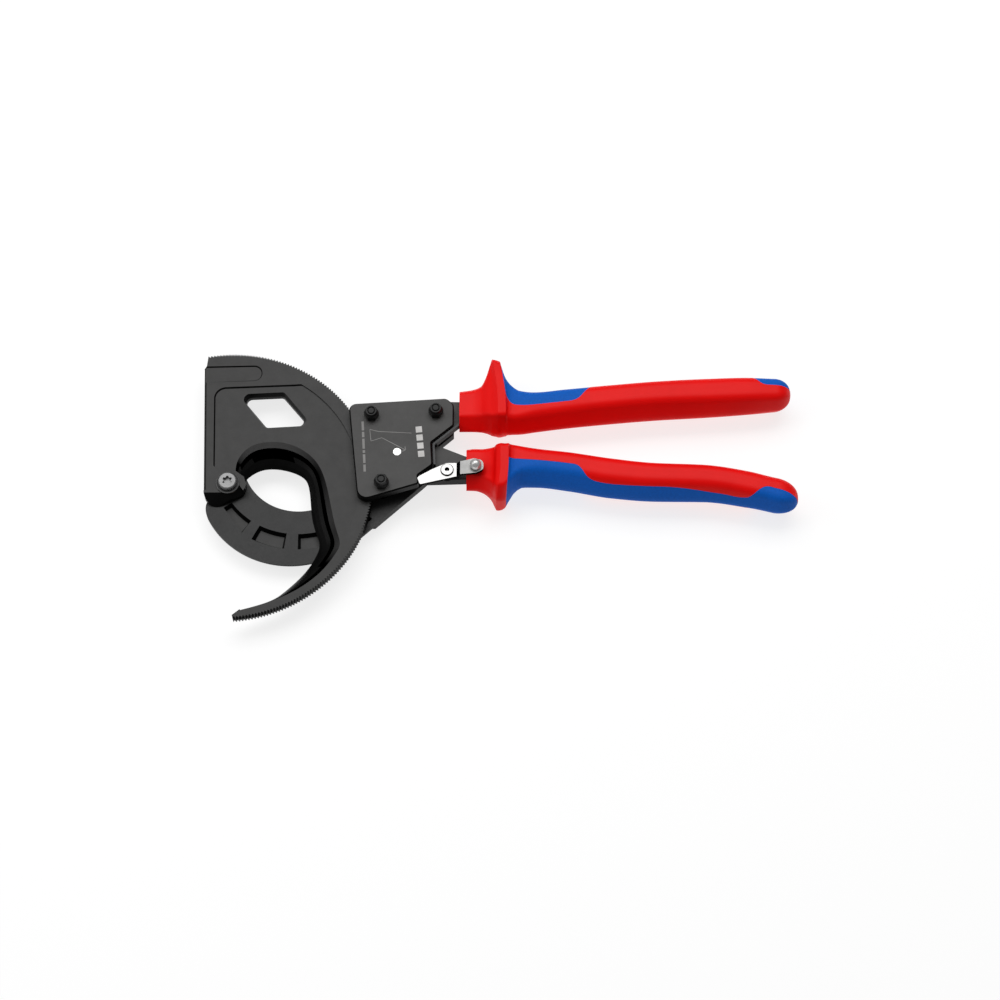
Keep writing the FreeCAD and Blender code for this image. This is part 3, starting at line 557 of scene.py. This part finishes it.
upper = build_grip(
    "upper", UPPER_OUTLINE, crest=145.4, facet_end=149.6, root=46.0, sign=1, end_x=305.6,
    zones=[("upper_grip_blue", "upper_grip_insert", UPPER_ZONE),
           ("upper_grip_blue_end", "upper_grip_end", UPPER_END)])
lower = build_grip(
    "lower", LOWER_OUTLINE, crest=146.8, facet_end=151.1, root=5.0, sign=-1, end_x=306.6,
    zones=[("lower_grip_blue", "lower_grip_insert", LOWER_ZONE)])
for body, red_node, (red, blues) in (("head", "upper_grip", upper), ("lower_handle", "lower_grip", lower)):
    place(red, body, MATERIALS["red_plastic"], "red_plastic", red_node)
    for blue, node in blues:
        place(blue, body, MATERIALS["blue_plastic"], "blue_plastic", node)


# ---------------------------------------------------------------- generic marks
MARK_LOW, MARK_TOP = 21.55, 21.63        # the print stands 0.03 mm proud of the cover


def marks(name, bars, width):
    """Flat printed bars of one width, each from one point to another."""
    bm = bmesh.new()
    for a, b in bars:
        half = Vector((b[0] - a[0], b[1] - a[1])).normalized() * width / 2
        x, y = -half.y, half.x
        corners = [(a[0] + x, a[1] + y), (a[0] - x, a[1] - y), (b[0] - x, b[1] - y), (b[0] + x, b[1] + y)]
        extrude(bm, corners, MARK_LOW, MARK_TOP)
    return finished(name, bm)


def dashes(start, end, lengths, gap):
    """Bars of the given lengths laid end to end from start towards end."""
    way = (Vector(end) - Vector(start)).normalized()
    here, bars = Vector(start), []
    for length in lengths:
        bars.append((tuple(here), tuple(here + way * length)))
        here = here + way * (length + gap)
    return bars


# a row of thin dashes, a row of bold squares, and a plain outline with an arrow head between them
fine = marks("cover_marks_fine", dashes((72.0, 34.4), (73.9, 4.0), (5.4, 3.2, 6.0, 1.6, 5.2, 4.2), 0.9), 1.3)
bold = marks("cover_marks_bold", dashes((102.4, 31.4), (104.4, 11.0), [3.6] * 4, 1.3), 3.4)
ARROW_TIP = (95.6, 17.2)
lines = marks("cover_marks_lines", [((80.6, 28.4), (98.6, 27.4)), ((82.6, 24.6), ARROW_TIP),
                                    ((93.4, 16.4), ARROW_TIP), ((95.2, 19.4), ARROW_TIP),
                                    ((76.0, 29.6), (80.6, 28.4)), ((76.8, 22.6), (82.6, 24.6)),
                                    ((76.0, 29.6), (76.8, 22.6))], 0.35)
for obj, mat in ((fine, "print_faint"), (bold, "print"), (lines, "print_faint")):
    place(obj, "head", MATERIALS[mat])

# ---------------------------------------------------------------- studio
FLOOR_SIDE = 3.0                         # half the width of the floor, in metres
floor = bpy.data.meshes.new("floor")
floor.from_pydata([(-FLOOR_SIDE, -FLOOR_SIDE, 0), (FLOOR_SIDE, -FLOOR_SIDE, 0), (FLOOR_SIDE, FLOOR_SIDE, 0),
                   (-FLOOR_SIDE, FLOOR_SIDE, 0)], [], [(0, 1, 2, 3)])
floor_obj = bpy.data.objects.new("floor", floor)
scene.collection.objects.link(floor_obj)
floor_mat, _, _, floor_shader = new_material("pale_floor")
floor_shader.inputs["Base Color"].default_value = (0.27, 0.27, 0.27, 1)
floor_shader.inputs["Roughness"].default_value = 0.6
floor_shader.inputs["Specular IOR Level"].default_value = 0.0
floor_shader.inputs["Emission Color"].default_value = (1, 1, 1, 1)
floor_shader.inputs["Emission Strength"].default_value = 0.78
floor.materials.append(floor_mat)

world = bpy.data.worlds.new("studio")
world.use_nodes = True
world.node_tree.nodes["Background"].inputs["Color"].default_value = (1, 1, 1, 1)
world.node_tree.nodes["Background"].inputs["Strength"].default_value = 0.2
scene.world = world


def softbox(name, location, width, height, power):
    """A rectangular light that looks at the middle of the tool."""
    light = bpy.data.lights.new(name, "AREA")
    light.shape = "RECTANGLE"
    light.size, light.size_y = width, height
    light.energy = power
    obj = bpy.data.objects.new(name, light)
    obj.location = location
    obj.rotation_euler = (-Vector(location)).to_track_quat("-Z", "Y").to_euler()
    scene.collection.objects.link(obj)


softbox("key", (0.0, 0.66, 1.35), 1.7, 0.9, 18)
softbox("side", (-0.9, 0.1, 0.9), 0.5, 0.8, 3)

camera = bpy.data.cameras.new("camera")
camera.lens = 85.31
camera.sensor_width = 36
camera.clip_start = 0.05
camera_obj = bpy.data.objects.new("camera", camera)
camera_obj.location = (0.00125, -0.54017, 1.1717)
camera_obj.rotation_euler = (math.radians(24.644), 0, 0)
scene.collection.objects.link(camera_obj)
scene.camera = camera_obj
scene.view_settings.view_transform = "Standard"
